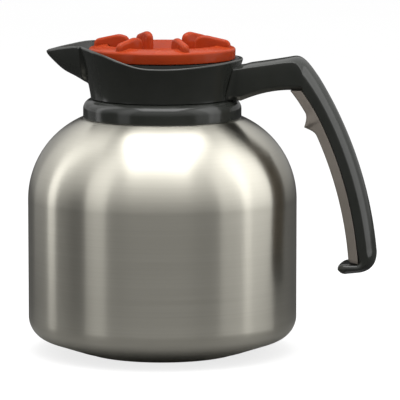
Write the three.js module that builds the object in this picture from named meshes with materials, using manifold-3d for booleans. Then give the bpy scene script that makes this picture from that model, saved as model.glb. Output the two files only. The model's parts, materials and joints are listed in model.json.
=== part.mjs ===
// A 1.9 litre vacuum carafe for a coffee brewer: double steel body, black pour collar and handle,
// and a brew-through lid whose cap turns a valve sleeve. Millimetres, +Z up. The origin is the
// middle of the foot, on the table. +X points to the handle, -X to the spout.
import * as THREE from 'three';
import { mergeVertices } from 'three/addons/utils/BufferGeometryUtils.js';
import Module from 'manifold-3d';

const wasm = await Module();
wasm.setup();

// ---- driving dimensions -------------------------------------------------------------------
const GAP = 0.3; // clearance between pieces that touch
const ROUND = 32; // facets round a large turned piece
const SMALL_ROUND = 16; // facets round a small one
const SHEET = 0.9; // steel wall

const BODY_R = 82.5;
const DOME_ARC = 54.8; // radius of the shoulder's arc
const DOME_Z = 93.8; // height where the shoulder starts
const CORNER_R = 14; // bottom corner of the body
const CORNER_Z = 21.6;
const CONE_TURN = 70.5; // degrees of corner arc before the base cone starts
const FOOT_R = 48.2;
const PAD_R = 43.6;
const PAD_TOP = 2.8;
const JACKET = 7; // body radius minus liner radius

const NECK_R = 41.5;
const NECK_TOP = 150;
const THROAT_R = 37; // bore of the mouth

const NUT_R = 48.5; // lower ring
const NUT_SEAT = 143.5; // flat on the shoulder under it
const NUT_TOP = 155.9;
const NUT_ROUND = 6;

const COLLAR_BASE_R = 43.8;
const COLLAR_FLARE = 6; // growth in radius from the base to the rim at the handle
const RIM_LOW = 178.1;
const RIM_HANDLE = 181;
const COLLAR_WALL = 2.5;
const COLLAR_FLOOR = 158.4;

const SPOUT_TIP = -72.2;
const SPOUT_ROOT = -47.3;
const SPOUT_HALF = 25.1; // half width at the root
const SPOUT_TIP_HALF = 3;
const SPOUT_WALL = 2.3;

const GRIP_X = -110.5; // centre of the handle's concentric arcs
const GRIP_Z = 41.1;
const GRIP_FACE_R = 227.6;
const GRIP_SEAM_R = 233.7;
const BACK_R = 244;
const HANDLE_HALF = 12.5;
const HANDLE_BEVEL = 2;
const ARM_UNDER = 163.1;
const HOOK_TOP = 57.4;
const NOSE_X = 113.2; // round end of the bottom hook
const NOSE_R = 3.2;
const GRIP_BEND = 1.5; // how far the seam leans inwards under the arm
const ARM_ARC = 74;
const ARM_ARC_X = 82;
const STOP_TOP = 151.5; // the finger stop's heights on the grip
const STOP_LOW = 134.8;
const SCREW_Y = 7;
const SCREW_Z = 165;
const SCREW_X = 38.8;

const PLUG_R = 34;
const PLUG_BOTTOM = 151;
const PLUG_BORE = 31.8;
const SLEEVE_R = 31.4;
const PORT_LOW = 161.6;
const PORT_HIGH = 170;
const PORT_HALF = 12;
const LID_R = 44.9;
const LID_SKIRT = 180.4;
const TUBE_R = 8;
const TUBE_BORE = 6.5;
const FIN_COUNT = 6;
const FIN_THICK = 4.2;
const SLEEVE_SCREWS = 3;
const SLEEVE_SCREW_R = 18;

// ---- helpers ------------------------------------------------------------------------------
const radians = THREE.MathUtils.degToRad;

// Points on an arc round (x, z), from one angle to another in degrees.
function arc(x, z, radius, from, to, steps) {
  return Array.from({ length: steps + 1 }, (_, i) => {
    const angle = radians(from + ((to - from) * i) / steps);
    return [x + radius * Math.cos(angle), z + radius * Math.sin(angle)];
  });
}

function circleX(radius, z) {
  return GRIP_X + Math.sqrt(radius ** 2 - (z - GRIP_Z) ** 2);
}

function circleAngle(radius, z) {
  return Math.asin((z - GRIP_Z) / radius);
}

// Shared vertices merged, empty triangles dropped, faces turned outwards.
function closed(geometry) {
  const bare = geometry.index ? geometry.clone() : geometry;
  bare.deleteAttribute('normal');
  bare.deleteAttribute('uv');
  const merged = mergeVertices(bare, 1e-4);
  const index = merged.index.array;
  const p = merged.attributes.position;
  const corners = [new THREE.Vector3(), new THREE.Vector3(), new THREE.Vector3()];
  const kept = [];
  let volume = 0;
  for (let i = 0; i < index.length; i += 3) {
    const tri = [index[i], index[i + 1], index[i + 2]];
    if (new Set(tri).size < 3) continue;
    kept.push(...tri);
    corners.forEach((corner, k) => corner.fromBufferAttribute(p, tri[k]));
    volume += corners[0].dot(corners[1].clone().cross(corners[2]));
  }
  merged.setIndex(volume < 0 ? kept.reverse() : kept);
  return merged;
}

// A turned piece. The profile of [radius, z] points closes on itself or on the axis.
function turned(profile, facets = ROUND) {
  const points = profile.map(([r, z]) => new THREE.Vector2(r, z));
  const onAxis = profile[0][0] === 0 && profile.at(-1)[0] === 0;
  if (!onAxis) points.push(points[0].clone());
  return closed(new THREE.LatheGeometry(points, facets).rotateX(Math.PI / 2));
}

// An outline in the XZ plane, extruded evenly to both sides of it. Where two curves of the
// outline meet, only one of their two end points is kept.
function slab(shape, half, bevel = 0, curveSegments = 6) {
  const points = shape.getPoints(curveSegments);
  const outline = points.filter((point, i) => point.distanceTo(points.at(i - 1)) > 0.01);
  const geometry = new THREE.ExtrudeGeometry(new THREE.Shape(outline), {
    depth: 2 * (half - bevel),
    bevelEnabled: bevel > 0,
    bevelThickness: bevel,
    bevelSize: bevel,
    bevelOffset: -bevel,
    bevelSegments: 1,
  });
  return closed(geometry.translate(0, 0, bevel - half).rotateX(Math.PI / 2));
}

function box(x0, x1, y0, y1, z0, z1) {
  const geometry = new THREE.BoxGeometry(x1 - x0, y1 - y0, z1 - z0);
  return closed(geometry.translate((x0 + x1) / 2, (y0 + y1) / 2, (z0 + z1) / 2));
}

// A solid skinned over loops of points, one loop for each section, with flat ends.
function loft(sections) {
  const count = sections[0].length;
  const index = [];
  for (let s = 0; s + 1 < sections.length; s += 1) {
    for (let i = 0; i < count; i += 1) {
      const j = (i + 1) % count;
      const a = s * count + i;
      const b = s * count + j;
      index.push(a, b, b + count, a, b + count, a + count);
    }
  }
  const last = (sections.length - 1) * count;
  for (let i = 1; i + 1 < count; i += 1) {
    index.push(0, i + 1, i, last, last + i, last + i + 1);
  }
  const geometry = new THREE.BufferGeometry().setFromPoints(sections.flat());
  geometry.setIndex(index);
  return closed(geometry);
}

function solid(geometry) {
  const vertProperties = new Float32Array(geometry.attributes.position.array);
  const triVerts = new Uint32Array(geometry.index.array);
  return new wasm.Manifold(new wasm.Mesh({ numProp: 3, vertProperties, triVerts }));
}

function geometryOf(manifold) {
  const mesh = manifold.getMesh();
  const geometry = new THREE.BufferGeometry();
  geometry.setAttribute('position', new THREE.BufferAttribute(mesh.vertProperties, 3));
  geometry.setIndex(Array.from(mesh.triVerts));
  return geometry;
}

function cut(geometry, ...tools) {
  return geometryOf(tools.reduce((body, tool) => body.subtract(solid(tool)), solid(geometry)));
}

function join(geometry, ...others) {
  return geometryOf(others.reduce((body, other) => body.add(solid(other)), solid(geometry)));
}

// ---- materials ----------------------------------------------------------------------------
const finishes = {
  steel: [0xb9b5ad, 0.32, 1],
  innerSteel: [0xc4c2bd, 0.4, 1],
  black: [0x1b1b1a, 0.22, 0],
  grip: [0x756c64, 0.6, 0],
  orange: [0xdc4418, 0.2, 0],
  rubber: [0x2b2b2b, 0.8, 0],
  silicone: [0xd8d4cc, 0.6, 0],
  natural: [0xdedad0, 0.4, 0],
  zinc: [0xa8a9ab, 0.35, 1],
};

const carafe = new THREE.Group();

function place(name, finish, geometry) {
  const [color, roughness, metalness] = finishes[finish];
  geometry.computeVertexNormals();
  const mesh = new THREE.Mesh(geometry, new THREE.MeshStandardMaterial({ color, roughness, metalness }));
  mesh.name = name;
  carafe.add(mesh);
}

// ---- vacuum body --------------------------------------------------------------------------
const domeX = BODY_R - DOME_ARC;
const cornerX = BODY_R - CORNER_R;

// Shoulder arc from the straight wall up to a given radius, as degrees.
function domeEnd(radius, arcRadius) {
  return THREE.MathUtils.radToDeg(Math.acos((radius - domeX) / arcRadius));
}

function outerShell() {
  const inset = DOME_ARC - SHEET;
  const outside = [
    ...arc(cornerX, CORNER_Z, CORNER_R, -CONE_TURN, 0, 4),
    ...arc(domeX, DOME_Z, DOME_ARC, 0, domeEnd(50, DOME_ARC), 8),
    [NECK_R + 1.2, NUT_SEAT],
    [NECK_R, NUT_SEAT + 1.2],
    [NECK_R, NECK_TOP],
  ];
  const inside = [
    [NECK_R - SHEET, NECK_TOP],
    [NECK_R - SHEET, NUT_SEAT],
    ...arc(domeX, DOME_Z, inset, domeEnd(50, inset), 0, 8),
    ...arc(cornerX, CORNER_Z, CORNER_R - SHEET, 0, -CONE_TURN, 4),
  ];
  return turned([...outside, ...inside]);
}

function innerFlask() {
  const wallR = BODY_R - JACKET;
  const linerArc = DOME_ARC - JACKET;
  const bottom = 13.5;
  const turn = 12.5;
  const half = (arcRadius, corner, neck, low) => [
    [0, low],
    ...arc(wallR - turn, bottom + turn, corner, -90, 0, 4),
    ...arc(domeX, DOME_Z, arcRadius, 0, domeEnd(neck, arcRadius), 6),
    [neck, NECK_TOP],
  ];
  const outside = half(linerArc, turn, THROAT_R + SHEET, bottom);
  const inside = half(linerArc - SHEET, turn - SHEET, THROAT_R, bottom + SHEET);
  return turned([...outside, ...inside.reverse()]);
}

// Cone of the underside, the pressed foot ring and the well that holds the pad.
function basePlate() {
  const [edgeR, edgeZ] = arc(cornerX, CORNER_Z, CORNER_R, -CONE_TURN, -CONE_TURN, 1)[0];
  const seam = edgeR - 0.35;
  const well = PAD_TOP + GAP;
  const sealHole = 4.6;
  return turned([
    [sealHole, well],
    [PAD_R + 0.6, well],
    [PAD_R + 1.3, 0],
    [FOOT_R, 0],
    [FOOT_R + 1.2, 1.5],
    [55, 2.1],
    [seam, edgeZ - 0.1],
    [seam - 0.2, edgeZ + SHEET - 0.1],
    [54.8, 3.1],
    [FOOT_R + 0.4, 2.4],
    [FOOT_R - 0.4, 1],
    [PAD_R + 2, 1],
    [PAD_R + 1.4, well + 1],
    [sealHole, well + 1],
  ]);
}

place('outer_shell', 'steel', outerShell());
place('inner_flask', 'innerSteel', innerFlask());
place('base_plate', 'steel', basePlate());
const padOutline = [[0, 0], [PAD_R - 0.8, 0], [PAD_R, 0.8], [PAD_R, PAD_TOP], [0, PAD_TOP]];
const sealOutline = [[0, 3.3], [4.3, 3.3], [4.3, 4.4], [6.5, 4.4], [5.5, 5.6], [0, 5.9]];
const getterOutline = [[0, 4.4], [5, 4.4], [5, 7], [0, 7]];
place('foot_pad', 'rubber', turned(padOutline));
place('vacuum_seal', 'zinc', turned(sealOutline, SMALL_ROUND));
place('getter', 'innerSteel', turned(getterOutline, SMALL_ROUND).translate(24, 0, 0));

// ---- neck and lower ring ------------------------------------------------------------------
const neckOuter = NECK_R + GAP;
const threadCrest = NECK_R + 2.1;
const threadRoot = NECK_R + 1.5;
const nutBore = threadCrest + GAP;
const nutFloor = 154.8;
const nutWebR = 41.6;

place('neck_ring', 'innerSteel', turned([
  [THROAT_R, NECK_TOP + GAP],
  [NECK_R, NECK_TOP + GAP],
  [NECK_R, 151.3],
  [THROAT_R, 151.3],
]));
place('neck_thread', 'steel', turned([
  [neckOuter, 147.6],
  [threadRoot, 147.6],
  [threadCrest, 148.2],
  [threadRoot, 148.8],
  [threadCrest, 149.4],
  [threadRoot, NECK_TOP],
  [neckOuter, NECK_TOP],
]));
place('neck_gasket', 'silicone', turned([[37.3, 151.6], [41.2, 151.6], [41.2, 152.5], [37.3, 152.5]]));

function lowerRing() {
  return turned([
    [nutBore, NUT_SEAT + GAP],
    [NUT_R - 0.5, NUT_SEAT + GAP],
    [NUT_R, NUT_SEAT + 0.9],
    ...arc(NUT_R - NUT_ROUND, NUT_TOP - NUT_ROUND, NUT_ROUND, 0, 90, 4),
    [nutWebR, NUT_TOP],
    [nutWebR, nutFloor],
    [nutBore, nutFloor],
  ]);
}

// Open snap ring in the collar's groove, under the web of the lower ring.
function retainingRing() {
  const shape = new THREE.Shape();
  const opening = radians(12);
  shape.absarc(0, 0, 43.3, opening, 2 * Math.PI - opening, false);
  shape.absarc(0, 0, 39.9, 2 * Math.PI - opening, opening, true);
  const ring = new THREE.ExtrudeGeometry(shape, { depth: 0.8, bevelEnabled: false, curveSegments: 18 });
  return closed(ring.translate(0, 0, 153.65));
}

place('lower_ring', 'black', lowerRing());
place('retaining_ring', 'zinc', retainingRing());

// ---- pour collar with its spout -----------------------------------------------------------
const collarBase = NUT_TOP + GAP;
const collarTop = 191;

function collarRadius(z) {
  return COLLAR_BASE_R + COLLAR_FLARE * ((z - collarBase) / (RIM_HANDLE - collarBase)) ** 1.35;
}

function wallHeights(from) {
  const steps = 6;
  return Array.from({ length: steps + 1 }, (_, i) => from + ((collarTop - from) * i) / steps);
}

function collarWall() {
  return turned([
    [THROAT_R + 0.2, 152.8],
    [41.2, 152.8],
    [41.2, 153.4],
    [39.6, 153.4],
    [39.6, 154.7],
    [41.2, 154.7],
    [41.2, collarBase],
    ...wallHeights(collarBase).map((z) => [collarRadius(z), z]),
    ...wallHeights(COLLAR_FLOOR + 1).reverse().map((z) => [collarRadius(z) - COLLAR_WALL, z]),
    [41, COLLAR_FLOOR],
    [THROAT_R + 0.2, COLLAR_FLOOR],
  ]);
}

function collarHollow() {
  return turned([
    [0, COLLAR_FLOOR],
    ...wallHeights(COLLAR_FLOOR + 1).map((z) => [collarRadius(z) - COLLAR_WALL, z]),
    [0, collarTop],
  ]);
}

function spoutHalfWidth(x) {
  const slope = (SPOUT_HALF - SPOUT_TIP_HALF) / (SPOUT_ROOT - SPOUT_TIP - 0.8);
  const inside = Math.max(0, x - SPOUT_ROOT);
  return SPOUT_TIP_HALF + slope * (Math.min(x, SPOUT_ROOT) - SPOUT_TIP - 0.8) - 0.45 * inside;
}

function spoutKeel(x) {
  const along = Math.max(0, (x - SPOUT_TIP) / 26.5);
  return 183.3 - 18.7 * along ** 0.76;
}

// One U section across the spout: flat above the rim, rounded keel below.
function spoutSection(x, half, keel) {
  const steps = 8;
  const power = 2 + 1.4 * Math.min(1, (x - SPOUT_TIP) / (SPOUT_ROOT - SPOUT_TIP));
  return Array.from({ length: steps + 1 }, (_, i) => {
    const t = (2 * i) / steps - 1;
    const z = keel + (collarTop - 1 - keel) * Math.min(1, 1.08 * Math.abs(t) ** power);
    return new THREE.Vector3(x, half * t, z);
  });
}

function spoutOutside() {
  const stations = [SPOUT_TIP, -71.2, -68, -63, -57, -52, SPOUT_ROOT, -44, -40];
  return loft(stations.map((x) => spoutSection(x, Math.max(1.2, spoutHalfWidth(x)), spoutKeel(x))));
}

function spoutChannel() {
  const stations = [-70.6, -68, -63, -57, -52, SPOUT_ROOT, -44, -36];
  return loft(stations.map((x) => {
    const section = spoutSection(x, Math.max(0.9, spoutHalfWidth(x) - SPOUT_WALL), spoutKeel(x) + 2.8);
    section.forEach((point) => {
      if (point.z > collarTop - 1.5) point.z = collarTop + 4;
    });
    return section;
  }));
}

// Everything above the rim line, which is one curve seen from the side.
function aboveRim() {
  const rim = [
    [-60, 187.2],
    [SPOUT_ROOT, 188.8],
    [-42, 188.1],
    [-31, 185.8],
    [-18, 181.9],
    [-10, 179.6],
    [-4, 178.5],
    [4, RIM_LOW],
    [24, 178.7],
    [40, 180.3],
    [COLLAR_BASE_R + COLLAR_FLARE, RIM_HANDLE],
    [60, 182],
  ];
  const shape = new THREE.Shape();
  shape.moveTo(-76, 183.5);
  shape.splineThru(rim.map(([x, z]) => new THREE.Vector2(x, z)));
  shape.lineTo(60, 200);
  shape.lineTo(-76, 200);
  return slab(shape, 62, 0, 2);
}

function screwHole(side) {
  const hole = new THREE.CylinderGeometry(2.1, 2.1, 26, 12).rotateZ(Math.PI / 2);
  return closed(hole.translate(SCREW_X + 11, side * SCREW_Y, SCREW_Z));
}

// Rib on the inside, opposite the spout, that keeps the stopper from turning.
function keyRib() {
  const shape = new THREE.Shape();
  shape.moveTo(42.2, 160);
  shape.lineTo(43.6, 160);
  shape.lineTo(46.4, 175.6);
  shape.lineTo(42.2, 175.6);
  return slab(shape, 2);
}

function pourCollar() {
  const shell = join(collarWall(), cut(spoutOutside(), collarHollow()), keyRib());
  return cut(shell, spoutChannel(), aboveRim(), screwHole(-1), screwHole(1));
}

place('pour_collar', 'black', pourCollar());

// ---- handle -------------------------------------------------------------------------------
// Arm, back and bottom hook in one outline, trimmed to fit round the collar.
function handleFrame() {
  const shape = new THREE.Shape();
  shape.moveTo(42, 177.1);
  shape.quadraticCurveTo(64, 179.7, 81, 182.9);
  shape.bezierCurveTo(87.2, 184.1, 91.2, 177.8, circleX(BACK_R, 169.5), 169.5);
  shape.absarc(GRIP_X, GRIP_Z, BACK_R, circleAngle(BACK_R, 169.5), circleAngle(BACK_R, 64), true);
  shape.bezierCurveTo(133.2, 56.6, 130.8, 52.2, 122.5, 51.4);
  shape.absarc(NOSE_X, HOOK_TOP - NOSE_R - 0.2, NOSE_R, radians(-78), radians(82), true);
  shape.lineTo(circleX(GRIP_SEAM_R, HOOK_TOP), HOOK_TOP);
  const seamBend = circleAngle(GRIP_SEAM_R, STOP_TOP);
  shape.absarc(GRIP_X, GRIP_Z, GRIP_SEAM_R, circleAngle(GRIP_SEAM_R, HOOK_TOP), seamBend, false);
  shape.lineTo(circleX(GRIP_SEAM_R, ARM_UNDER) - GRIP_BEND, ARM_UNDER);
  shape.lineTo(ARM_ARC_X, ARM_UNDER);
  shape.absarc(ARM_ARC_X, ARM_UNDER - ARM_ARC, ARM_ARC, Math.PI / 2, radians(115.2), false);
  shape.lineTo(42, NUT_TOP + 0.4);
  const collar = turned([
    [0, 150],
    ...wallHeights(collarBase).map((z) => [collarRadius(z) + GAP, z]),
    [0, collarTop],
  ]);
  return cut(slab(shape, HANDLE_HALF, HANDLE_BEVEL), collar, screwHole(-1), screwHole(1));
}

// Soft insert on the finger side, with one stop between the first two fingers.
function handleGrip() {
  const outer = GRIP_SEAM_R - GAP;
  const top = ARM_UNDER - 0.4;
  const shape = new THREE.Shape();
  shape.moveTo(circleX(outer, top) - GRIP_BEND, top);
  shape.lineTo(circleX(GRIP_FACE_R, top) - GRIP_BEND, top);
  shape.lineTo(circleX(GRIP_FACE_R, STOP_TOP), STOP_TOP);
  shape.quadraticCurveTo(91.8, 146.4, 89.5, 140.9);
  shape.quadraticCurveTo(94.6, 139.9, circleX(GRIP_FACE_R, STOP_LOW), STOP_LOW);
  const stopEnd = circleAngle(GRIP_FACE_R, STOP_LOW);
  shape.absarc(GRIP_X, GRIP_Z, GRIP_FACE_R, stopEnd, circleAngle(GRIP_FACE_R, 59.8), true);
  const foot = HOOK_TOP + 0.4;
  shape.lineTo(circleX(outer, foot), foot);
  shape.absarc(GRIP_X, GRIP_Z, outer, circleAngle(outer, foot), circleAngle(outer, STOP_TOP), false);
  return slab(shape, HANDLE_HALF - 0.1, 1.3, 4);
}

function handleScrew(side) {
  const profile = [[0, 0], [2.4, 0], [3.3, 0.8], [3.3, 1.9], [1.7, 1.9], [1.7, 15.6], [0, 17]];
  return turned(profile, SMALL_ROUND).rotateY(Math.PI / 2).translate(SCREW_X, side * SCREW_Y, SCREW_Z);
}

place('handle_frame', 'black', handleFrame());
place('handle_grip', 'grip', handleGrip());
place('handle_screw_left', 'zinc', handleScrew(1));
place('handle_screw_right', 'zinc', handleScrew(-1));

// ---- stopper ------------------------------------------------------------------------------
// Plug, seat on the collar floor and flange under the cap. It is keyed, so it does not turn.
function stopperBody() {
  const body = turned([
    [TUBE_R + 0.4, PLUG_BOTTOM],
    [PLUG_R - 1, PLUG_BOTTOM],
    [PLUG_R, PLUG_BOTTOM + 1],
    [PLUG_R, 154.2],
    [PLUG_R - 1, 154.2],
    [PLUG_R - 1, 158],
    [PLUG_R, 158],
    [PLUG_R, COLLAR_FLOOR + 0.5],
    [38.4, COLLAR_FLOOR + 0.5],
    [38.4, 160.7],
    [PLUG_R, 161.4],
    [PLUG_R, 171],
    [43.6, 172.6],
    [43.6, LID_SKIRT - 0.4],
    [41.8, LID_SKIRT - 0.4],
    [41.8, 174.6],
    [PLUG_BORE, 172.9],
    [PLUG_BORE, 157],
    [30.5, 157],
    [30.5, 155.3],
    [PLUG_BORE, 155.3],
    [PLUG_BORE, 153],
    [TUBE_R + 0.4, 153],
  ]);
  const pourPort = box(-42, -24, -PORT_HALF, PORT_HALF, PORT_LOW, PORT_HIGH);
  const airPort = box(24, 37, -3, 3, 164, PORT_HIGH);
  const keySlot = box(41.2, 46, -2.4, 2.4, 170, 176.2);
  return cut(body, pourPort, airPort, keySlot);
}

function valveSleeve() {
  const body = turned([
    [TUBE_R + 0.8, 173],
    [28.6, 173],
    [28.6, 153.6],
    [SLEEVE_R, 153.6],
    [SLEEVE_R, 155],
    [30.2, 155],
    [30.2, 157.3],
    [SLEEVE_R, 157.3],
    [SLEEVE_R, 174.5],
    [TUBE_R + 0.8, 174.5],
  ]);
  const pourPort = box(-36, -20, -PORT_HALF, PORT_HALF, PORT_LOW, PORT_HIGH);
  const airPort = box(20, 36, -3, 3, 164, PORT_HIGH);
  return cut(body, pourPort, airPort, ...sleeveScrewHoles());
}

// The same function for each thing that repeats round the sleeve's screw circle.
function roundScrewCircle(make) {
  return Array.from({ length: SLEEVE_SCREWS }, (_, i) => {
    const angle = Math.PI / 6 + (2 * Math.PI * i) / SLEEVE_SCREWS;
    return make().translate(SLEEVE_SCREW_R * Math.cos(angle), SLEEVE_SCREW_R * Math.sin(angle), 0);
  });
}

function sleeveScrewHoles() {
  return roundScrewCircle(() => turned([[0, 165], [1.6, 165], [1.6, 178], [0, 178]], 12));
}

function sleeveScrews() {
  return roundScrewCircle(() => turned([
    [0, 171],
    [2.4, 171],
    [2.4, 172.7],
    [1.3, 172.7],
    [1.3, 177.4],
    [0, 177.8],
  ], 12));
}

const sealGroove = PLUG_R - 1 + GAP;
place('stopper_body', 'black', stopperBody());
place('lid_seal', 'silicone', turned([
  [sealGroove, 154.5],
  [35.9, 154.5],
  [36.9, 156.1],
  [35.9, 157.7],
  [sealGroove, 157.7],
]));
place('valve_sleeve', 'natural', valveSleeve());
sleeveScrews().forEach((screw, i) => place(`sleeve_screw_${i + 1}`, 'zinc', screw));
place('drip_tube', 'natural', turned([
  [TUBE_BORE, 146],
  [7.4, 146],
  [TUBE_R, 147],
  [TUBE_R, 153.3],
  [11, 153.3],
  [11, 154.6],
  [TUBE_R, 154.6],
  [TUBE_R, 174.4],
  [TUBE_BORE, 174.4],
], SMALL_ROUND));

// ---- float valve --------------------------------------------------------------------------
function floatCage() {
  const body = turned([
    [4.5, 134],
    [12.2, 134],
    [12.2, 149.3],
    [14, 149.3],
    [14, PLUG_BOTTOM - GAP],
    [10.4, PLUG_BOTTOM - GAP],
    [10.4, 135.5],
    [4.5, 135.5],
  ], SMALL_ROUND);
  return cut(body, box(-16, 16, -4.5, 4.5, 137.5, 145.5), box(-4.5, 4.5, -16, 16, 137.5, 145.5));
}

place('float_cage', 'natural', floatCage());
place('float_valve', 'natural', turned([
  [0, 135.9],
  [6, 135.9],
  [9.2, 137.5],
  [9.2, 140.5],
  [6.8, 143],
  [0, 143.2],
], SMALL_ROUND));

// ---- lid cap ------------------------------------------------------------------------------
// Finger fin, seen from the side: steep inner end in the recess, top falling away outwards.
function fin(angle) {
  const shape = new THREE.Shape();
  shape.moveTo(19.4, 180.2);
  shape.lineTo(20.4, 190);
  shape.quadraticCurveTo(20.8, 194.2, 26, 194.5);
  shape.quadraticCurveTo(33, 193.8, 38.5, 192.4);
  shape.quadraticCurveTo(42.2, 191.6, 42.3, 188);
  shape.lineTo(42.4, 185.6);
  shape.lineTo(33.6, 186.9);
  shape.lineTo(29.6, 182.2);
  return slab(shape, FIN_THICK / 2, 0.8, 2).rotateZ(angle);
}

function lidCap() {
  const cap = turned([
    [42.7, LID_SKIRT],
    [LID_R - 0.2, LID_SKIRT],
    [LID_R, 184.8],
    [LID_R - 0.5, 186.1],
    [LID_R - 1.6, 186.8],
    [33.8, 188.9],
    [32.6, 188.6],
    [31.9, 187.8],
    [29.8, 183.6],
    [9, 178.6],
    [TUBE_BORE, 178.3],
    [TUBE_BORE, 174.9],
    [7.9, 174.9],
    [8.6, 176.6],
    [29.8, 181.6],
    [32.4, 186.2],
    [41.8, 184.8],
    [42.7, 184],
  ]);
  const bosses = roundScrewCircle(() => turned([[0, 174.8], [3.2, 174.8], [3.2, 180], [0, 180]], 12));
  const fins = Array.from({ length: FIN_COUNT }, (_, i) => fin((2 * Math.PI * i) / FIN_COUNT));
  return cut(join(cap, ...bosses, ...fins), ...sleeveScrewHoles());
}

place('lid_cap', 'orange', lidCap());

export default carafe;
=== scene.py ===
"""Looks for the vacuum carafe: detailed pieces, materials and a small studio.

Shapes are worked out in millimetres and stored in metres. +Z is up, +X points to the handle.
"""
import json
import math

import bmesh
import bpy
import numpy as np
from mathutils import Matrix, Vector

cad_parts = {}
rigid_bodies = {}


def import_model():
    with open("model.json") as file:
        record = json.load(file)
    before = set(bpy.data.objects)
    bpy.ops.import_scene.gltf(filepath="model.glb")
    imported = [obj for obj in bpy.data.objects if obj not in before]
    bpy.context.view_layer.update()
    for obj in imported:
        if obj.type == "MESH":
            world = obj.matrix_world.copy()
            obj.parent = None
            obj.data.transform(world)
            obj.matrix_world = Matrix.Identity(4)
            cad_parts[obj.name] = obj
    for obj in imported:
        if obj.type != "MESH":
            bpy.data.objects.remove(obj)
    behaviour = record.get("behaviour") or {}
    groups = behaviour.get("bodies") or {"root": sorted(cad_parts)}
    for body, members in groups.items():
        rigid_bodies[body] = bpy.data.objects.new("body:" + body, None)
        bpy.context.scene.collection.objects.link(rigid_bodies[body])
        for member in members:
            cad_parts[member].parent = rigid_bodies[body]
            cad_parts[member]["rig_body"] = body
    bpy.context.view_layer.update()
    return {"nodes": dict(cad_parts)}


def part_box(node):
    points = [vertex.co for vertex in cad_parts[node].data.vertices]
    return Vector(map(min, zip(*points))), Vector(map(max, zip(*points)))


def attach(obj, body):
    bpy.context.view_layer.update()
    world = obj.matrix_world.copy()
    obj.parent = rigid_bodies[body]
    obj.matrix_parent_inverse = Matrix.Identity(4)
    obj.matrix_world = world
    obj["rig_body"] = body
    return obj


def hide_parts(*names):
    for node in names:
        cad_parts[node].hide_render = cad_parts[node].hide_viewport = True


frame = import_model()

MM = 0.001
FINE_ROUND = 256  # facets round a turned piece that is seen in full
ROUND = 192
SMALL_ROUND = 64
SHARP = 38  # degrees: a flatter edge is shaded smooth


# ---- outlines -----------------------------------------------------------------------------
def span(node):
    """Lowest and highest corner of a CAD node, in millimetres."""
    return [np.array(corner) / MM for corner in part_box(node)]


def arc(x, z, radius, start, end, steps):
    angle = np.radians(np.linspace(start, end, steps + 1))
    return np.stack([x + radius * np.cos(angle), z + radius * np.sin(angle)], -1)


def bezier(*controls, steps=24):
    """A Bezier curve of any degree, as points."""
    t = np.linspace(0, 1, steps + 1)[:, None]
    n = len(controls) - 1
    return sum(
        math.comb(n, k) * t**k * (1 - t) ** (n - k) * np.array(point, float)
        for k, point in enumerate(controls)
    )


def resample(points, count, ease=1):
    """The line with that many points, evenly spaced, or closer at its start if ease is over 1."""
    points = np.array(points, float)
    length = np.concatenate([[0], np.cumsum(np.linalg.norm(np.diff(points, axis=0), axis=1))])
    at = length[-1] * np.linspace(0, 1, count) ** ease
    return np.stack([np.interp(at, length, values) for values in points.T], -1)


def curve_through(points):
    """A smooth function through points whose first numbers rise."""
    xs, ys = np.array(points, float).T
    slopes = np.gradient(ys, xs)

    def value(x):
        x = np.clip(x, xs[0], xs[-1])
        i = np.clip(np.searchsorted(xs, x) - 1, 0, len(xs) - 2)
        width = xs[i + 1] - xs[i]
        t = (x - xs[i]) / width
        start = (1 + 2 * t) * (1 - t) ** 2 * ys[i] + t * (1 - t) ** 2 * width * slopes[i]
        return start + t * t * (3 - 2 * t) * ys[i + 1] - t * t * (1 - t) * width * slopes[i + 1]

    return value


def rounded(outline, radius=0.3, steps=4):
    """A closed outline with its corners rounded. A point's third number is its own radius."""
    result = []
    count = len(outline)
    for i, point in enumerate(outline):
        corner = np.array(point[:2], float)
        to_last = np.array(outline[i - 1][:2]) - corner
        to_next = np.array(outline[(i + 1) % count][:2]) - corner
        lengths = np.linalg.norm(to_last), np.linalg.norm(to_next)
        to_last, to_next = to_last / lengths[0], to_next / lengths[1]
        opening = math.acos(np.clip(to_last @ to_next, -1, 1))
        wanted = point[2] if len(point) > 2 else radius
        if corner[0] < 1e-6 or opening > 3.05 or wanted == 0:
            result.append(corner)
            continue
        cut = min(wanted / math.tan(opening / 2), 0.48 * min(lengths))
        bisector = (to_last + to_next) / np.linalg.norm(to_last + to_next)
        centre = corner + bisector * cut / math.cos(opening / 2)
        first, last = corner + to_last * cut - centre, corner + to_next * cut - centre
        turn = math.pi - opening
        turns = steps if wanted < 2 else 4 * steps
        for k in range(turns + 1):
            part = k / turns
            mix = math.sin((1 - part) * turn) * first + math.sin(part * turn) * last
            result.append(centre + mix / math.sin(turn))
    return np.array(result)


def node_profile(node, axis=2):
    """Outline of a turned CAD node as (radius, height), read where its facets start."""
    low, high = span(node)
    centre = (low + high) / 2
    other = 2 - axis
    points = np.array([v.co for v in frame["nodes"][node].data.vertices]) / MM
    radius = centre[1] - points[:, 1]
    flat = (np.abs(points[:, other] - centre[other]) < 0.002) & (radius > -0.002)
    keys = [tuple(key) for key in np.round(np.stack([radius, points[:, axis]], -1), 2)]
    beside = {}
    for polygon in frame["nodes"][node].data.polygons:
        corners = list(polygon.vertices)
        for a, b in zip(corners, corners[1:] + corners[:1]):
            if flat[a] and flat[b] and keys[a] != keys[b]:
                beside.setdefault(keys[a], set()).add(keys[b])
                beside.setdefault(keys[b], set()).add(keys[a])
    ends = sorted(key for key in beside if len(beside[key]) == 1)
    line = [ends[0] if ends else min(beside)]
    while True:
        following = sorted(beside[line[-1]] - set(line))
        if not following:
            return [(max(r, 0.0), z) for r, z in line]
        line.append(following[0])


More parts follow.
